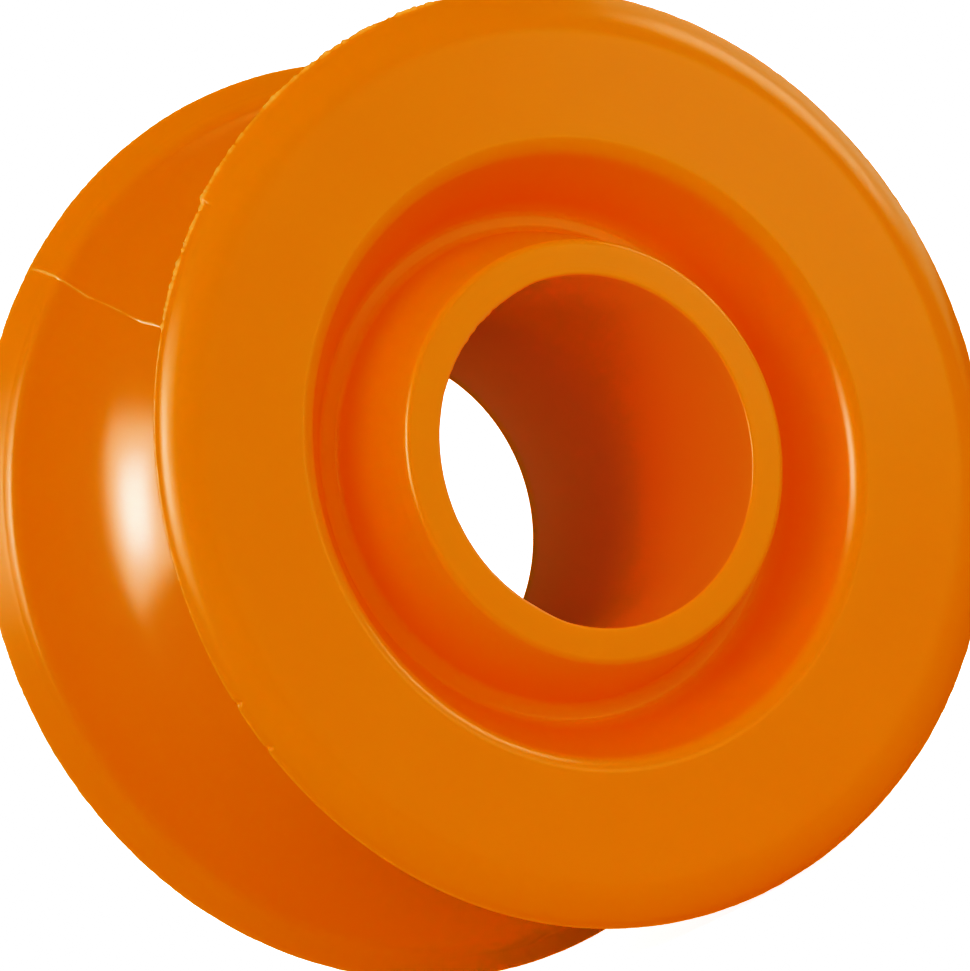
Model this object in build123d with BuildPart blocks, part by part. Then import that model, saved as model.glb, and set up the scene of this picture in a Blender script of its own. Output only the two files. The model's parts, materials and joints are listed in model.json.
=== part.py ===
from build123d import *

import os
from math import isclose, sqrt

# A bare rope pulley wheel, moulded in one piece, that runs directly on a round bar such as a carabiner's.
# Its centre is the origin, it spins about Y, and it stands on its two flange rims at Z = -flange_radius.

# Driving dimensions, in millimetres
flange_radius = 20.0
parting_half_width = 8.15  # mid-plane to the sharp moulding edge, the widest ring of each flange
flange_half_width = 9.15  # mid-plane to the flat face of each flange
face_outer_radius = 17.85  # where the flat face starts to curve back to the moulding edge
hub_half_width = 9.85  # mid-plane to each end of the hub, which stands proud of the flanges
bore_radius = 7.5
groove_radius = 7.0  # a half-round seat for rope up to 13 mm
groove_depth = 8.2  # flange radius to the bottom of the groove
land_inner_radius = 18.9  # where the bevel inside each flange's edge meets the groove
hub_outer_radius = 9.0
lip_radius = 13.05  # mouth of the recess round the hub
floor_half_width = 5.7  # mid-plane to the recess floor
floor_inner_radius = 10.1  # the hub's wall leans outwards down to here
floor_outer_radius = 10.9

# Rounding of the edges, which are whole circles
land_round = 0.8
lip_round = 0.95
hub_end_round = 0.3
floor_round = 0.35
bore_round = 0.1

# Where the groove's arc starts and ends
groove_bottom_radius = flange_radius - groove_depth
groove_centre_radius = groove_bottom_radius + groove_radius
land_half_width = sqrt(groove_radius**2 - (land_inner_radius - groove_centre_radius) ** 2)


def rings(solid, radius):
    """The circular edges of one radius, on both sides of the wheel."""
    circles = solid.edges().filter_by(GeomType.CIRCLE)
    return circles.filter_by(lambda ring: isclose(ring.radius, radius, abs_tol=1e-4))


# The whole object: groove, flanges, recesses and hub are one moulding
with BuildPart() as pulley_wheel:
    # Half of the wheel's section, on the side of positive Y, with X as the radius
    with BuildSketch(Plane.XY):
        with BuildLine():
            bottom_to_land = RadiusArc(
                (groove_bottom_radius, 0), (land_inner_radius, land_half_width), groove_radius
            )
            Line(bottom_to_land @ 1, (flange_radius, parting_half_width))
            rim = TangentArc(
                (face_outer_radius, flange_half_width), (flange_radius, parting_half_width), tangent=(1, 0)
            )
            Polyline(
                rim @ 0,
                (lip_radius, flange_half_width),
                (floor_outer_radius, floor_half_width),
                (floor_inner_radius, floor_half_width),
                (hub_outer_radius, hub_half_width),
                (bore_radius, hub_half_width),
                (bore_radius, 0),
                bottom_to_land @ 0,
            )
        make_face()
        mirror(about=Plane.XZ)
    revolve(axis=Axis.Y)

    edge_rounds = {
        land_inner_radius: land_round,
        lip_radius: lip_round,
        floor_outer_radius: floor_round,
        floor_inner_radius: floor_round,
        hub_outer_radius: hub_end_round,
        bore_radius: bore_round,
    }
    for radius, rounding in edge_rounds.items():
        fillet(rings(pulley_wheel, radius), rounding)

pulley_wheel.part.label = "pulley_wheel"

os.makedirs("parts", exist_ok=True)
export_step(pulley_wheel.part, "parts/pulley_wheel.step")
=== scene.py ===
"""Looks of a moulded nylon rope pulley wheel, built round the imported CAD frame.

The wheel spins about Y with its centre at the origin, and its front is the side that faces -Y. A point of it
is given by its radius from the axis, its place along the axis and its angle. Angles are measured from straight
up towards +X.
"""

import json
import math

import bpy
import numpy as np
from mathutils import Matrix, Vector


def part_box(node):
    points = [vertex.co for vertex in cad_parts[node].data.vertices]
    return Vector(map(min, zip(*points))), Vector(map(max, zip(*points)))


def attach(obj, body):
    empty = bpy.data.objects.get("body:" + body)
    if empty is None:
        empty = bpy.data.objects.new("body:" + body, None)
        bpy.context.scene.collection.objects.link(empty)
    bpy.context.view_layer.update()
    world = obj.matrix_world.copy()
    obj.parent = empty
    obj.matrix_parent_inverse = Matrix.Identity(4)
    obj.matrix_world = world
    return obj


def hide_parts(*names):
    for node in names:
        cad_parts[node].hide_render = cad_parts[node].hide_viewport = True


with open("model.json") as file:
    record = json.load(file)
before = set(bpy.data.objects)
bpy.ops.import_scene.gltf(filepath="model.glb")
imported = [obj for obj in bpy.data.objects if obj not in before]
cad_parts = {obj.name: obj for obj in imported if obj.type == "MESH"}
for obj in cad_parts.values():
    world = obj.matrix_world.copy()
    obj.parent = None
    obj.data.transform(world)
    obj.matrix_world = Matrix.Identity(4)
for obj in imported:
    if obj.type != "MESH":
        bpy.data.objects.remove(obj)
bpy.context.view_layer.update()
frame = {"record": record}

# ---------------------------------------------------------------------------------------------------------
# Sizes, in metres, worked out from the frame
# ---------------------------------------------------------------------------------------------------------

NODE = "pulley_wheel"
SLOT = "orange_nylon"
MM = 0.001
wheel_low, wheel_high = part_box(NODE)
bore_mount = next(m for m in frame["record"]["mounts"] if m["name"] == "bore")

FLANGE_RADIUS = wheel_high.z
HUB_END = wheel_high.y
BORE_RADIUS = bore_mount["dims"]["r_mm"] * MM

PARTING_EDGE = 0.4075 * FLANGE_RADIUS  # along the axis to the sharp ring that is each flange's widest
FACE = 0.4575 * FLANGE_RADIUS  # along the axis to each flange's flat face
FACE_OUTER = 0.8925 * FLANGE_RADIUS
GROOVE_RADIUS = 0.350 * FLANGE_RADIUS
GROOVE_BOTTOM = 0.590 * FLANGE_RADIUS
LAND_INNER = 0.945 * FLANGE_RADIUS  # the land is the bevel between the groove and the sharp ring
CREASE = 0.963 * FLANGE_RADIUS  # a fine line that the mould leaves on the land
CREASE_HALF_WIDTH = 0.05 * MM
CREASE_DEPTH = 0.008 * MM
LIP_RADIUS = 0.6525 * FLANGE_RADIUS
FLOOR = 0.285 * FLANGE_RADIUS
FLOOR_INNER = 0.505 * FLANGE_RADIUS
FLOOR_OUTER = 0.545 * FLANGE_RADIUS
HUB_TOP = 0.450 * FLANGE_RADIUS

LAND_ROUND = 0.040 * FLANGE_RADIUS
LIP_ROUND = 0.0475 * FLANGE_RADIUS
FLOOR_ROUND = 0.0175 * FLANGE_RADIUS
HUB_ROUND = 0.015 * FLANGE_RADIUS
BORE_ROUND = 0.005 * FLANGE_RADIUS

# The mould's two slides meet in a plane through the axis, at these angles, and shape the groove between them
FIRST_PARTING = math.radians(-34.4)
SECOND_PARTING = FIRST_PARTING + math.pi
SLIDE_IN = 0.08 * MM  # how far the first slide's half of the front edge is in from its place
SLIDE_TILT = 0.03 * MM  # more at the first parting and less at the second
SLIDE_OUT = 0.04 * MM  # how far the other half is out
SLIDE_REACH = 0.3 * MM  # how far from the edge, along the surface, the halves blend into their places
SLIDE_STEP = (math.radians(-0.5), math.radians(0.3))  # the step between them at the first parting
SLIDE_FADE = math.radians(20.0)  # there is none at the second

# Flash, the thin skin that is squeezed out between the parts of the mould
FLASH_WIDTH = 0.05 * MM
FLASH_HEIGHT = 0.11 * MM
FLASH_JAGS = 0.26 * MM  # how far apart the kinks in its edge are, for each size of kink
FLASH_TEETH = 0.12 * MM
FLASH_DRIFT = 1.2 * MM
FLASH_SPIKES = 0.5 * MM
CLOSING_GAPS = (2.6, 1.8, 1.0, 0.5, 0)  # the mesh's last steps up to the parting edge, in flash widths
WORST_FLASH = (math.radians(-51.0), FIRST_PARTING)  # raggedest here, on the front flange
LONG_FLASH = (FIRST_PARTING, math.radians(16.0))  # and evener from there on
FLASH_KNOT = math.radians(-43.0)
KNOT_WIDTH = 0.13 * MM
NICKS = (math.radians(-98.3), math.radians(-104.8))
NICK_SIZE = 0.10 * MM
MOUTH_FLASH = (math.radians(-128.0), math.radians(-12.0))  # round the bore's front mouth
MOUTH_RAGGED = (math.radians(-42.0), math.radians(0.0))
MOUTH_FLASH_HEIGHT = 0.10 * MM
MOUTH_ROUGHNESS = 0.05 * MM
MOUTH_JAGS = 0.35 * MM
MOUTH_TEETH = 0.15 * MM
BACK_MOUTH_WIDER = 0.08 * MM  # its back mouth has no skin, and is a little wider

# The wavy ridge that the slides leave across the groove
RIDGE_WIDTH = 0.055 * MM
RIDGE_HEIGHT = 0.022 * MM
RIDGE_WANDER = 0.10 * MM
RIDGE_BENDS = 2.2 * MM  # how far apart its bends, its smaller kinks and its changes of height are
RIDGE_KINKS = 0.6 * MM
RIDGE_BREAKS = 0.35 * MM
RIDGE_END = 0.2 * MM  # how far short of the parting edge it dies out
# its two knots: where along the axis, how wide, and how many times its height
RIDGE_KNOTS = ((0.380 * FLANGE_RADIUS, 0.25 * MM, 2.4), (0.290 * FLANGE_RADIUS, 0.16 * MM, 1.8))

# A gate mark in the groove: a dot in a shallow dish
GATE_ANGLE = math.radians(-48.1)
GATE_RADIUS = 0.819 * FLANGE_RADIUS
GATE_AXIAL = 0.332 * FLANGE_RADIUS
GATE_DISH = 0.85 * MM
GATE_DOT = 0.07 * MM

# Steps round the wheel, finer where there is flash to show
COARSE_STEP = math.radians(0.5)
MEDIUM_STEP = math.radians(0.16)
FINE_STEP = math.radians(0.035)
FINE_HALF_SPAN = math.radians(1.8)


# ---------------------------------------------------------------------------------------------------------
# The wheel's section
# ---------------------------------------------------------------------------------------------------------

def line(start, end, longest):
    """Points from start up to end, without end, no further apart than longest."""
    start, end = np.array(start, float), np.array(end, float)
    count = max(1, math.ceil(np.linalg.norm(end - start) / longest))
    return [start + (end - start) * k / count for k in range(count)]


def arc(centre, radius, first_angle, last_angle, steps):
    """Points on an arc, both ends included, with angles from the radial direction."""
    angles = np.linspace(first_angle, last_angle, steps + 1)
    return [np.array(centre) + radius * np.array([math.cos(a), math.sin(a)]) for a in angles]


def rounded_corner(before, corner, after, radius, steps):
    """The arc that rounds a corner between two straight stretches."""
    before, corner, after = (np.array(p, float) for p in (before, corner, after))
    to_before = (before - corner) / np.linalg.norm(before - corner)
    to_after = (after - corner) / np.linalg.norm(after - corner)
    half = math.acos(float(np.clip(to_before @ to_after, -1, 1))) / 2
    middle = (to_before + to_after) / np.linalg.norm(to_before + to_after)
    centre = corner + middle * radius / math.sin(half)
    start = corner + to_before * radius / math.tan(half) - centre
    end = corner + to_after * radius / math.tan(half) - centre
    first = math.atan2(start[1], start[0])
    sweep = (math.atan2(end[1], end[0]) - first + math.pi) % (2 * math.pi) - math.pi
    return arc(centre, radius, first, first + sweep, steps)


def join(*stretches):
    """Groups of points, each with the longest step allowed on the straight stretch that leads to it."""
    points = []
    for group, longest in stretches:
        if points and longest:
            points += line(points[-1], group[0], longest)[1:]
        points += list(group)
    return points


def closing_in(start, edge):
    """Points that close in on the parting edge, the last ones as fine as the flash on it."""
    start, edge = np.array(start, float), np.array(edge, float)
    direction = (start - edge) / np.linalg.norm(start - edge)
    return [edge + direction * gap * FLASH_WIDTH for gap in CLOSING_GAPS]


def crease_on(land_end, edge):
    """A fine groove across the straight part of the land."""
    land_end, edge = np.array(land_end), np.array(edge)
    direction = (edge - land_end) / np.linalg.norm(edge - land_end)
    inward = np.array([-direction[1], direction[0]])
    middle = land_end + direction * (CREASE - land_end[0]) / direction[0]
    side = direction * CREASE_HALF_WIDTH
    return [middle - side, middle + inward * CREASE_DEPTH, middle + side]


def half_section():
    """(radius, along the axis) from the groove's bottom to the bore's middle, and the parting edge's index.

    Each arc's last value is its number of steps."""
    groove_centre = (GROOVE_BOTTOM + GROOVE_RADIUS, 0.0)
    land_half = math.sqrt(GROOVE_RADIUS**2 - (LAND_INNER - groove_centre[0]) ** 2)
    land, edge = (LAND_INNER, land_half), (FLANGE_RADIUS, PARTING_EDGE)
    land_arc = rounded_corner((LAND_INNER - LAND_ROUND, land_half), land, edge, LAND_ROUND, 9)
    groove_end = math.atan2(land_half, land_arc[0][0] - groove_centre[0])
    groove = arc(groove_centre, GROOVE_RADIUS, math.pi, groove_end, 100)
    # the rim leaves the face smoothly and reaches the parting edge at an angle
    rise, run = FACE - PARTING_EDGE, FLANGE_RADIUS - FACE_OUTER
    rim_radius = (rise**2 + run**2) / (2 * rise)
    edge_angle = math.acos(run / rim_radius)
    rim = arc((FACE_OUTER, FACE - rim_radius), rim_radius, edge_angle, math.pi / 2, 16)
    lip = rounded_corner((FACE_OUTER, FACE), (LIP_RADIUS, FACE), (FLOOR_OUTER, FLOOR), LIP_ROUND, 18)
    outer = rounded_corner((LIP_RADIUS, FACE), (FLOOR_OUTER, FLOOR), (FLOOR_INNER, FLOOR), FLOOR_ROUND, 7)
    inner = rounded_corner((FLOOR_OUTER, FLOOR), (FLOOR_INNER, FLOOR), (HUB_TOP, HUB_END), FLOOR_ROUND, 7)
    hub = rounded_corner((FLOOR_INNER, FLOOR), (HUB_TOP, HUB_END), (BORE_RADIUS, HUB_END), HUB_ROUND, 10)
    bore = rounded_corner((HUB_TOP, HUB_END), (BORE_RADIUS, HUB_END), (BORE_RADIUS, 0), BORE_ROUND, 8)
    before_edge = join((groove, 0), (land_arc[1:], 0), (crease_on(land_arc[-1], edge), 0.15 * MM),
                       (closing_in(land_arc[-1], edge), 0.15 * MM))
    after_edge = join((rim[1:], 0), (lip, 0.6 * MM), (outer, 0.5 * MM), (inner, 0.3 * MM), (hub, 0.5 * MM),
                      (bore, 0.2 * MM), ([np.array((BORE_RADIUS, 0.0))], 0.8 * MM))
    return np.array(before_edge + closing_in(rim[1], edge)[::-1][1:] + after_edge), len(before_edge) - 1


def whole_section():
    """The closed section: its points, outward normals, and distances from the parting edge along the surface.

    The distance is negative on the groove's side of the edge and positive on the flange face's side."""
    half, edge_index = half_section()
    run = np.concatenate([[0], np.cumsum(np.linalg.norm(np.diff(half, axis=0), axis=1))])
    run -= run[edge_index]
    points = np.vstack([half, (half * np.array([1, -1]))[::-1][1:-1]])
    reach = np.concatenate([run, run[::-1][1:-1]])
    along = np.roll(points, -1, axis=0) - np.roll(points, 1, axis=0)
    along /= np.linalg.norm(along, axis=1)[:, None]
    normals = np.column_stack([along[:, 1], -along[:, 0]])
    return points, normals * np.sign(normals[0, 0]), reach


# ---------------------------------------------------------------------------------------------------------
# Marks of the mould
# ---------------------------------------------------------------------------------------------------------

def fade(x, low, high):
    """0 below low, 1 above high, smooth between."""
    t = np.clip((x - low) / (high - low), 0, 1)
    return t * t * (3 - 2 * t)


def between(x, low, high, margin):
    """1 from low to high, falling off to 0 over the margin outside."""
    return fade(x, low - margin, low) * (1 - fade(x, high, high + margin))


def bell(x, middle, width):
    return np.exp(-(((x - middle) / width) ** 2))


def broken_line(x, spacing, seed):
    """A random broken line from 0 to 1 with a kink about every spacing."""
    random = np.random.default_rng(seed)
    low, high = float(np.min(x)), float(np.max(x))
    steps = random.uniform(0.35, 1.65, math.ceil((high - low) / spacing * 1.3) + 4) * spacing
    kinks = low - spacing + np.cumsum(steps)
    return np.interp(x, kinks, random.random(len(kinks)))


def turn_from(angle, middle):
    """The angle less middle, the shorter way round."""
    return (angle - middle + math.pi) % (2 * math.pi) - math.pi


def angles_round_the_wheel():
    coarse = np.arange(-math.pi, math.pi - 0.5 * COARSE_STEP, COARSE_STEP)
    low, high = min(NICKS) - 4 * MEDIUM_STEP, LONG_FLASH[1] + 4 * MEDIUM_STEP
    steps = np.concatenate([coarse[(coarse < low) | (coarse > high)], np.arange(low, high, MEDIUM_STEP)])
    for middle in (FIRST_PARTING, SECOND_PARTING):
        steps = steps[np.abs(turn_from(steps, middle)) > FINE_HALF_SPAN]
        steps = np.append(steps, middle + np.arange(-FINE_HALF_SPAN, FINE_HALF_SPAN, FINE_STEP))
    return np.sort(turn_from(steps, 0))


def edge_flash(angles, seed, front):
    """How far the flash on one flange's edge stands out, and how far it leans along the axis."""
    length = angles * FLANGE_RADIUS
    fine = 0.5 * broken_line(length, FLASH_JAGS, seed) + 0.5 * broken_line(length, FLASH_TEETH, seed + 3)
    slow = broken_line(length, FLASH_DRIFT, seed + 1)
    spikes = fade(broken_line(length, FLASH_SPIKES, seed + 2), 0.75, 1.0)
    height = 0.25 * fine
    lean = 0.4 * (fine - 0.5)
    if front:
        worst = between(angles, *WORST_FLASH, math.radians(0.8))
        evener = between(angles, *LONG_FLASH, math.radians(0.3))
        height += worst * (1.4 * fine + 0.2 * slow + 0.3 * spikes - 0.3)
        height += evener * (0.9 * fine + 0.5 * spikes - 0.1)
        height += 0.7 * bell(length, FLASH_KNOT * FLANGE_RADIUS, KNOT_WIDTH)
        lean *= 1 + 1.5 * worst
    return height * FLASH_HEIGHT, lean * FLASH_HEIGHT


def parting_ridge(section, reach, angles, middle, seed):
    """Height of the wavy ridge that the slides leave across the groove, over the whole grid."""
    axial = section[:, 1]
    along = (reach - reach.min()) * np.sign(axial)
    path = RIDGE_WANDER * (2 * broken_line(along, RIDGE_BENDS, seed) - 1)
    path += 0.8 * RIDGE_WANDER * (2 * broken_line(along, RIDGE_KINKS, seed + 1) - 1)
    height = RIDGE_HEIGHT * (0.25 + 1.1 * broken_line(along, RIDGE_BREAKS, seed + 2))
    for knot, width, share in RIDGE_KNOTS:
        height += share * RIDGE_HEIGHT * bell(axial, knot, width)
    in_groove = 1 - fade(reach, -RIDGE_END, 0)
    across = turn_from(angles, middle)[None, :] * section[:, :1] - path[:, None]
    return height[:, None] * in_groove[:, None] * np.exp(-((across / RIDGE_WIDTH) ** 2))


def moulded_grid(section, normals, reach, angles):
    """Radius and place along the axis over the grid, and how much of each point is flash."""
    radius = np.repeat(section[:, :1], len(angles), axis=1)
    axial = np.repeat(section[:, 1:], len(angles), axis=1)
    flash = np.zeros_like(radius)

    # the slides stood a little off their places, so the two halves of the front edge don't quite match
    turn = turn_from(angles, FIRST_PARTING)
    first_half = 1 - fade(turn, *SLIDE_STEP)
    first_half *= fade(turn, -math.pi, -math.pi + SLIDE_FADE)
    shift = (1 - first_half) * SLIDE_OUT - first_half * (SLIDE_IN + SLIDE_TILT * np.cos(turn))
    front = section[:, 1] < 0
    radius += np.outer(front * bell(reach, 0, SLIDE_REACH), shift)

    for side, seed in ((-1, 11), (1, 31)):
        height, lean = edge_flash(angles, seed, side < 0)
        tip = (np.sign(section[:, 1]) == side) * np.clip(1 - np.abs(reach) / FLASH_WIDTH, 0, 1)
        radius += np.outer(tip, height)
        axial += np.outer(tip, side * lean)
        skirt = (np.sign(section[:, 1]) == side) * bell(reach, 0, 2 * FLASH_WIDTH)
        flash += np.outer(skirt, np.clip(height / FLASH_HEIGHT, 0, 1))

    for middle, seed in ((FIRST_PARTING, 51), (SECOND_PARTING, 71)):
        ridge = parting_ridge(section, reach, angles, middle, seed)
        radius += ridge * normals[:, :1]
        axial += ridge * normals[:, 1:]
        flash += np.clip(0.6 * ridge / RIDGE_HEIGHT, 0, 1)

    for middle in NICKS:
        dent = bell(turn_from(angles, middle) * FLANGE_RADIUS, 0, 1.5 * NICK_SIZE)
        radius -= np.outer(front * bell(reach, 0.1 * MM, 0.2 * MM), dent) * NICK_SIZE

    length = angles * BORE_RADIUS
    mouth = bell(section[:, 0], BORE_RADIUS, BORE_ROUND)
    mouth *= bell(np.abs(section[:, 1]), HUB_END, 1.5 * BORE_ROUND)
    rough = broken_line(length, MOUTH_JAGS, 91) + 0.5 * broken_line(length, MOUTH_TEETH, 92)
    rough *= 0.25 + between(angles, *MOUTH_RAGGED, math.radians(8.0))
    skin = between(angles, *MOUTH_FLASH, math.radians(15.0))
    radius -= np.outer(mouth * front, rough) * MOUTH_ROUGHNESS
    radius += np.outer(mouth * ~front, np.ones_like(angles)) * BACK_MOUTH_WIDER
    radius -= np.outer(mouth * front, skin) * MOUTH_FLASH_HEIGHT
    return radius, axial, np.clip(flash, 0, 1)


# ---------------------------------------------------------------------------------------------------------
# Mesh
# ---------------------------------------------------------------------------------------------------------

def closed_mesh(name, grid, flash):
    """A mesh from a grid of points that wraps round in both directions, with the flash as an attribute."""
    rows, columns = grid.shape[:2]
    i, j = np.meshgrid(np.arange(rows), np.arange(columns), indexing="ij")
    i_next, j_next = (i + 1) % rows, (j + 1) % columns
    corners = [i * columns + j, i * columns + j_next, i_next * columns + j_next, i_next * columns + j]
    quads = np.stack(corners, axis=-1).reshape(-1, 4)
    mesh = bpy.data.meshes.new(name)
    mesh.vertices.add(rows * columns)
    mesh.vertices.foreach_set("co", grid.reshape(-1).astype(np.float32))
    mesh.loops.add(quads.size)
    mesh.loops.foreach_set("vertex_index", quads.reshape(-1).astype(np.int32))
    mesh.polygons.add(len(quads))
    mesh.polygons.foreach_set("loop_start", np.arange(0, quads.size, 4, dtype=np.int32))
    mesh.polygons.foreach_set("use_smooth", np.ones(len(quads), bool))
    mesh.update(calc_edges=True)
    mesh.validate()
    attribute = mesh.attributes.new("flash", "FLOAT", "POINT")
    attribute.data.foreach_set("value", flash.reshape(-1).astype(np.float32))
    made = bpy.data.objects.new(name, mesh)
    bpy.context.scene.collection.objects.link(made)
    return made


def wheel_mesh():
    section, normals, reach = whole_section()
    angles = angles_round_the_wheel()
    radius, axial, flash = moulded_grid(section, normals, reach, angles)
    grid = np.stack([radius * np.sin(angles), axial, radius * np.cos(angles)], axis=-1)
    return closed_mesh("pulley_wheel_moulding", grid, flash)


# ---------------------------------------------------------------------------------------------------------
# Material
# ---------------------------------------------------------------------------------------------------------

def node(tree, kind, inputs=(), **settings):
    """A shader node; each input is given a plain value or another node's output."""
    made = tree.nodes.new(kind)
    for name, value in settings.items():
        setattr(made, name, value)
    for name, value in dict(inputs).items():
        if isinstance(value, bpy.types.NodeSocket):
            tree.links.new(value, made.inputs[name])
        else:
            made.inputs[name].default_value = value
    return made


def maths(tree, operation, *values):
    """A math node's result."""
    return node(tree, "ShaderNodeMath", enumerate(values), operation=operation).outputs[0]


def ramp(tree, value, low, high, to_low, to_high):
    """The value carried over from one range to another, smoothly and without going beyond it."""
    inputs = {"Value": value, "From Min": low, "From Max": high, "To Min": to_low, "To Max": to_high}
    return node(tree, "ShaderNodeMapRange", inputs, interpolation_type="SMOOTHSTEP").outputs[0]


def blend(tree, share, first, second):
    """A colour between two colours: the first where the share is 0, the second where it is 1."""
    return node(tree, "ShaderNodeMix", {0: share, 6: first, 7: second}, data_type="RGBA").outputs[2]


def noise(tree, where, size, detail=2.0, roughness=0.5):
    """Noise from 0 to 1 with features of about the given size."""
    inputs = {"Vector": where, "Scale": 1 / size, "Detail": detail, "Roughness": roughness}
    return node(tree, "ShaderNodeTexNoise", inputs).outputs[0]


BODY_COLOURS = ((0.970, 0.185, 0.0, 1), (0.985, 0.205, 0.0, 1))
# painted shade, mixed into the recess's outer wall
RECESS_SHADE_COLOUR = (0.95, 0.02, 0.0, 1)
# painted shade, mixed into the bore's far half
BORE_SHADE_COLOUR = (0.87, 0.17, 0.28, 1)
PALE_AND_SHEEN_COLOUR = (1.0, 0.46, 0.18, 1)  # where the nylon is thin or rubbed, and a painted sheen along the turned rings
FACE_SKIN = 0.05 * MM  # a flat face is told by how close a point is to its plane
BORE_SHADE_SPAN = (-0.15 * HUB_END, 0.30 * HUB_END)  # between these, along the axis, the painted shade in the bore deepens

NYLON_IOR = 1.53
SUBSURFACE_RADIUS = (1.0, 0.3, 0.1)
SUBSURFACE_SCALE = 0.5 * MM
SMOOTHEST, BLOTCH_ROUGHNESS, DULL_ROUGHNESS, FLASH_ROUGHNESS = 0.17, 0.06, 0.04, 0.20
GROOVE_GLOSS, FACE_GLOSS, LAND_LOSS = 0.5, 0.24, 0.10
RING_SIZE, GRAIN_SIZE, WAVE_SIZE, BLOTCH_SIZE = 0.10 * MM, 0.12 * MM, 2.2 * MM, 5.0 * MM
RING_BUMP, GRAIN_BUMP, WAVE_BUMP, DISH_BUMP, DOT_BUMP = 0.0030, 0.0012, 0.006, 0.005, 0.04  # in mm


def nylon():
    material = bpy.data.materials.new(SLOT)
    material.use_nodes = True
    tree = material.node_tree
    shader = tree.nodes["Principled BSDF"]
    where = node(tree, "ShaderNodeTexCoord").outputs["Object"]
    parts = node(tree, "ShaderNodeSeparateXYZ", {"Vector": where})
    flat = node(tree, "ShaderNodeCombineXYZ", {"X": parts.outputs["X"], "Z": parts.outputs["Z"]}).outputs[0]
    radius = node(tree, "ShaderNodeVectorMath", {0: flat}, operation="LENGTH").outputs["Value"]
    axial = maths(tree, "ABSOLUTE", parts.outputs["Y"])
    flash = node(tree, "ShaderNodeAttribute", attribute_name="flash").outputs["Fac"]

    # turned faces of the mould have left fine rings on the hub's ends and, fainter, on the flange faces
    rings = noise(tree, node(tree, "ShaderNodeCombineXYZ", {"X": radius}).outputs[0], RING_SIZE, 3.0, 0.6)
    hub_end = ramp(tree, axial, HUB_END - FACE_SKIN, HUB_END, 0.0, 1.0)
    face = ramp(tree, axial, FACE - FACE_SKIN, FACE, 0.0, 0.35)
    rings = maths(tree, "MULTIPLY", rings, maths(tree, "MAXIMUM", hub_end, face))
    grain = noise(tree, where, GRAIN_SIZE, 3.0, 0.6)
    waves = noise(tree, where, WAVE_SIZE, 1.0, 0.4)
    gate = Vector((GATE_RADIUS * math.sin(GATE_ANGLE), GATE_AXIAL, GATE_RADIUS * math.cos(GATE_ANGLE)))
    from_gate = node(tree, "ShaderNodeVectorMath", {0: where, 1: gate}, operation="DISTANCE").outputs["Value"]
    dish = ramp(tree, from_gate, 0.6 * GATE_DISH, GATE_DISH, 0.0, 1.0)
    dot = ramp(tree, from_gate, 0.0, GATE_DOT, 1.0, 0.0)
    height = maths(tree, "MULTIPLY", rings, RING_BUMP)
    for relief, bump in ((grain, GRAIN_BUMP), (waves, WAVE_BUMP), (dish, DISH_BUMP), (dot, DOT_BUMP)):
        height = maths(tree, "MULTIPLY_ADD", relief, bump, height)
    bump = node(tree, "ShaderNodeBump", {"Height": height, "Distance": MM, "Strength": 1.0}).outputs[0]

    blotches = noise(tree, where, BLOTCH_SIZE, 3.0, 0.6)
    smudge = maths(tree, "MULTIPLY_ADD", blotches, BLOTCH_ROUGHNESS, SMOOTHEST)
    # the slides that shaped the groove were better polished than the cores that shaped the two faces
    in_section = node(tree, "ShaderNodeCombineXYZ", {"X": radius, "Y": axial}).outputs[0]
    groove_centre = Vector((GROOVE_BOTTOM + GROOVE_RADIUS, 0, 0))
    from_groove = node(tree, "ShaderNodeVectorMath", {0: in_section, 1: groove_centre}, operation="DISTANCE")
    dull = ramp(tree, from_groove.outputs["Value"], GROOVE_RADIUS, GROOVE_RADIUS + 0.3 * MM, 0.0, 1.0)
    roughness = maths(tree, "MULTIPLY_ADD", dull, DULL_ROUGHNESS, smudge)
    roughness = maths(tree, "MULTIPLY_ADD", flash, FLASH_ROUGHNESS, roughness)
    land = maths(tree, "MULTIPLY", dull, ramp(tree, axial, PARTING_EDGE - FACE_SKIN, PARTING_EDGE, 1.0, 0.0))
    land = maths(tree, "MULTIPLY", land, ramp(tree, radius, LAND_INNER - 0.5 * MM, LAND_INNER, 0.0, 1.0))
    gloss = ramp(tree, dull, 0.0, 1.0, GROOVE_GLOSS, FACE_GLOSS)
    gloss = maths(tree, "MULTIPLY_ADD", land, -LAND_LOSS, gloss)
    body = blend(tree, blotches, *BODY_COLOURS)
    # painted shade: the recess's outer wall is tinted redder and darker, where the recess shades it
    recess_shade = maths(tree, "MULTIPLY", dull, ramp(tree, radius, FLOOR_OUTER, FLOOR_OUTER + 0.5 * MM, 0.0, 1.0))
    recess_shade = maths(tree, "MULTIPLY", recess_shade, ramp(tree, radius, LIP_RADIUS - 0.4 * MM, LIP_RADIUS, 0.3, 0.0))
    body = blend(tree, recess_shade, body, RECESS_SHADE_COLOUR)
    # painted shade: the bore's far half is tinted darker and redder, more so towards the back mouth
    bore_shade_depth = ramp(tree, parts.outputs["Y"], *BORE_SHADE_SPAN, 0.15, 0.70)
    bore = maths(tree, "MULTIPLY", bore_shade_depth, ramp(tree, radius, BORE_RADIUS, BORE_RADIUS + FACE_SKIN, 1.0, 0.0))
    body = blend(tree, bore, body, BORE_SHADE_COLOUR)
    pale_and_ring_sheen = maths(tree, "MAXIMUM", maths(tree, "MULTIPLY", flash, 0.75), maths(tree, "MULTIPLY", dot, 0.5))
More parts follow.
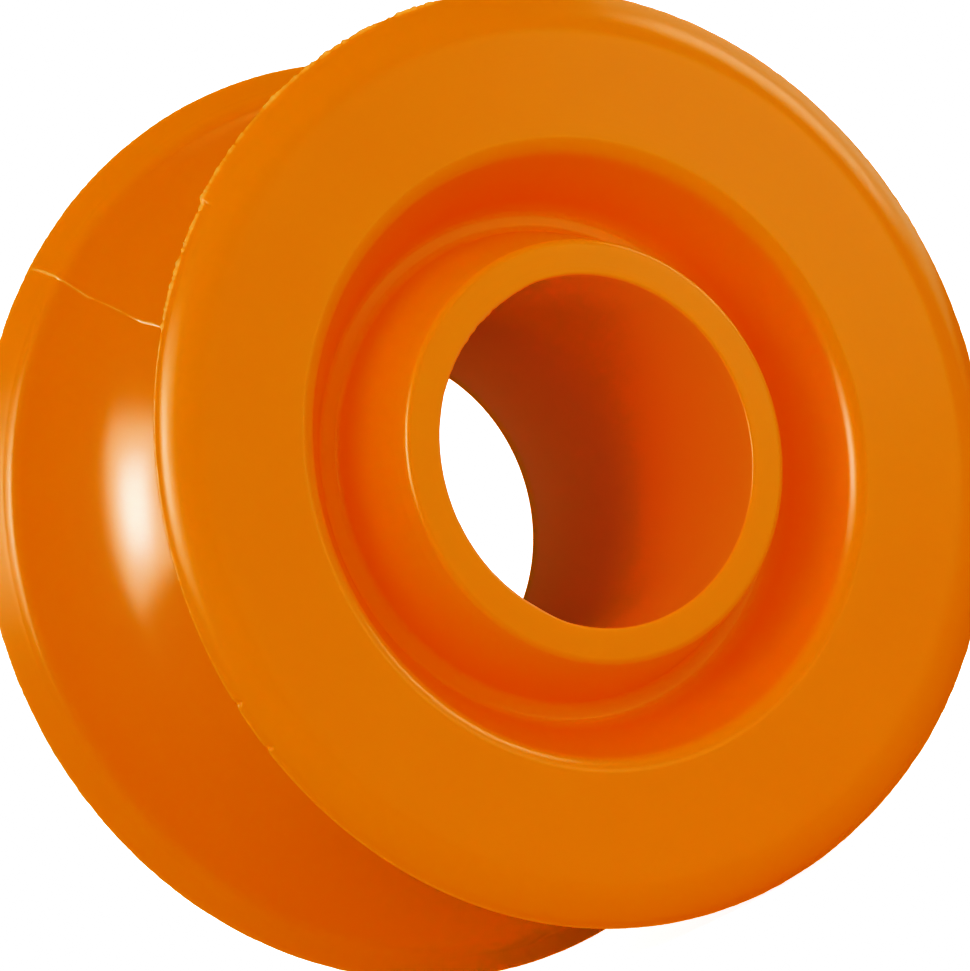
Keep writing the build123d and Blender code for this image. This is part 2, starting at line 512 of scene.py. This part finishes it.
    # the turned rings are painted a little paler, a painted sheen along them
    pale_and_ring_sheen = maths(tree, "MULTIPLY_ADD", rings, 0.10, pale_and_ring_sheen)
    tree.links.new(blend(tree, pale_and_ring_sheen, body, PALE_AND_SHEEN_COLOUR), shader.inputs["Base Color"])
    tree.links.new(roughness, shader.inputs["Roughness"])
    tree.links.new(gloss, shader.inputs["Specular IOR Level"])
    tree.links.new(bump, shader.inputs["Normal"])
    shader.subsurface_method = "BURLEY"
    shader.inputs["IOR"].default_value = NYLON_IOR
    shader.inputs["Subsurface Weight"].default_value = 1.0
    shader.inputs["Subsurface Radius"].default_value = SUBSURFACE_RADIUS
    shader.inputs["Subsurface Scale"].default_value = SUBSURFACE_SCALE
    return material


wheel = wheel_mesh()
wheel.data.materials.append(nylon())
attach(wheel, "root")
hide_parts(NODE)


# ---------------------------------------------------------------------------------------------------------
# Camera, floor and light
# ---------------------------------------------------------------------------------------------------------

CAMERA_AZIMUTH = math.radians(-29.71)
CAMERA_ELEVATION = math.radians(3.30)
CAMERA_ROLL = math.radians(24.49)
CAMERA_DISTANCE = 25.603 * FLANGE_RADIUS
CAMERA_LENS = 445.9
CAMERA_SENSOR = 36
CAMERA_AIM = (-0.0015 * FLANGE_RADIUS, 0.0061 * FLANGE_RADIUS)  # off the wheel's centre, sideways and upward


def camera_axes():
    """The camera's right, up and backward directions."""
    a, e = CAMERA_AZIMUTH, CAMERA_ELEVATION
    back = Vector((math.sin(a) * math.cos(e), -math.cos(a) * math.cos(e), math.sin(e)))
    level = Vector((math.cos(a), math.sin(a), 0))
    upright = back.cross(level)
    right = level * math.cos(CAMERA_ROLL) - upright * math.sin(CAMERA_ROLL)
    return right, back.cross(right), back


right, up, back = camera_axes()


def as_seen(sideways, upward, nearer):
    """A direction given as the camera sees it."""
    return (right * sideways + up * upward + back * nearer).normalized()


data = bpy.data.cameras.new("camera")
data.lens = CAMERA_LENS
data.sensor_width = CAMERA_SENSOR
data.clip_start, data.clip_end = 0.01, 100
camera = bpy.data.objects.new("camera", data)
bpy.context.scene.collection.objects.link(camera)
aim = right * CAMERA_AIM[0] + up * CAMERA_AIM[1]
rotation = Matrix((right, up, back)).transposed().to_4x4()
camera.matrix_world = Matrix.Translation(aim + back * CAMERA_DISTANCE) @ rotation
bpy.context.scene.camera = camera


def softbox(name, direction, distance, width, height, radiance, diffuse=True, glossy=True):
    """A rectangular soft light that faces the wheel."""
    lamp = bpy.data.lights.new(name, "AREA")
    lamp.shape = "RECTANGLE"
    lamp.size, lamp.size_y = width, height
    lamp.energy = radiance * math.pi * width * height
    made = bpy.data.objects.new(name, lamp)
    bpy.context.scene.collection.objects.link(made)
    side = up.cross(direction).normalized()
    turn = Matrix((side, direction.cross(side), direction)).transposed().to_4x4()
    made.matrix_world = Matrix.Translation(direction * distance) @ turn
    made.visible_camera = False
    made.visible_diffuse = diffuse
    made.visible_glossy = glossy


# One soft key lights the wheel. The sheens show only as reflections: of the key itself and the glow round
# it, of a white wall behind on the right, of a strip light and a card on the right, and of the backdrop on
# the left.
key_direction = as_seen(-0.50, 0.225, 0.835)
softbox("key_softbox", key_direction, 0.80, 0.28, 0.30, 4.05)
softbox("key_sheen", key_direction, 0.80, 0.28, 0.30, 12.0, diffuse=False)
softbox("skirt_sheen", as_seen(-0.51, 0.235, 0.82), 0.82, 0.60, 0.60, 7.5, diffuse=False)
softbox("rim_sheen", as_seen(0.62, 0.60, -0.50), 0.40, 0.30, 0.30, 1.6, diffuse=False)
softbox("lip_sheen", as_seen(0.75, 0.63, -0.17), 0.40, 0.13, 0.18, 5.8, diffuse=False)
softbox("card_sheen", as_seen(0.83, 0.40, 0.39), 0.13, 0.042, 0.042, 2.7, diffuse=False)
softbox("backdrop_sheen", as_seen(-0.913, -0.372, 0.173), 0.80, 0.52, 0.60, 3.0, diffuse=False)

# a fill for the wheel's back, from a side from which little of it gets into the bore that the camera sees
softbox("back_softbox", Vector((0.70, 0.60, 0.38)).normalized(), 0.80, 0.50, 0.50, 1.6, glossy=False)

# The room is white to the camera and lights the wheel most from the camera's side
AMBIENT_BEHIND, AMBIENT_BEFORE = 0.15, 1.04
WHITE_OUT = 2.0  # strong enough to stay white under the tone curves

world = bpy.data.worlds.new("studio")
bpy.context.scene.world = world
world.use_nodes = True
tree = world.node_tree
seen = node(tree, "ShaderNodeLightPath").outputs["Is Camera Ray"]
direction = node(tree, "ShaderNodeTexCoord").outputs["Generated"]
brightest = as_seen(0.35, 0.05, 0.93)
facing = node(tree, "ShaderNodeVectorMath", {0: direction, 1: brightest}, operation="DOT_PRODUCT")
ambient = ramp(tree, facing.outputs["Value"], -0.9, 1.0, AMBIENT_BEHIND, AMBIENT_BEFORE)
strength = maths(tree, "MAXIMUM", ambient, maths(tree, "MULTIPLY", seen, WHITE_OUT))
tree.links.new(strength, tree.nodes["Background"].inputs["Strength"])
tree.nodes["Background"].inputs["Color"].default_value = (1, 1, 1, 1)
world.cycles_visibility.glossy = False

# The floor lies just clear of the wheel, and glows for the camera alone, so that it too comes out white
FLOOR_SIZE = 20
FLOOR_GAP = 0.1 * MM
FLOOR_GLOW = 1.6

bpy.ops.mesh.primitive_plane_add(size=FLOOR_SIZE, location=(0, 0, -FLANGE_RADIUS - FLOOR_GAP))
floor = bpy.context.object
floor.name = "floor"
floor.visible_glossy = False
paint = bpy.data.materials.new("floor_paint")
paint.use_nodes = True
tree = paint.node_tree
matt = tree.nodes["Principled BSDF"]
matt.inputs["Base Color"].default_value = (0.8, 0.8, 0.8, 1)
matt.inputs["Specular IOR Level"].default_value = 0.0
matt.inputs["Emission Color"].default_value = (1.0, 0.54, 0.54, 1)
seen = node(tree, "ShaderNodeLightPath").outputs["Is Camera Ray"]
tree.links.new(maths(tree, "MULTIPLY", seen, FLOOR_GLOW), matt.inputs["Emission Strength"])
floor.data.materials.append(paint)

# The camera's tone curves: strong reds are held back, and the weakest blues are lost in the shadows
RED_CURVE = ((0, 0), (0.30, 0.23), (0.45, 0.40), (0.55, 0.59), (0.66, 0.655), (0.80, 0.71), (0.90, 0.79),
             (1.05, 0.88), (1.30, 0.956), (1.80, 1.0))
BLUE_CURVE = ((0, 0), (0.05, 0.006), (0.20, 0.087), (0.35, 0.23), (0.50, 0.42), (0.75, 0.74), (1, 1))


def tone_curves(settings, red, blue):
    settings.view_transform = "Standard"
    settings.use_curve_mapping = True
    mapping = settings.curve_mapping
    mapping.use_clip = False
    mapping.extend = "HORIZONTAL"
    for curve, points in ((mapping.curves[0], red), (mapping.curves[2], blue)):
        curve.points[-1].location = points[-1]
        for x, y in points[1:-1]:
            curve.points.new(x, y)
        for point in curve.points:
            point.handle_type = "AUTO_CLAMPED"
    mapping.update()


tone_curves(bpy.context.scene.view_settings, RED_CURVE, BLUE_CURVE)
bpy.context.scene.cycles.diffuse_bounces = 8
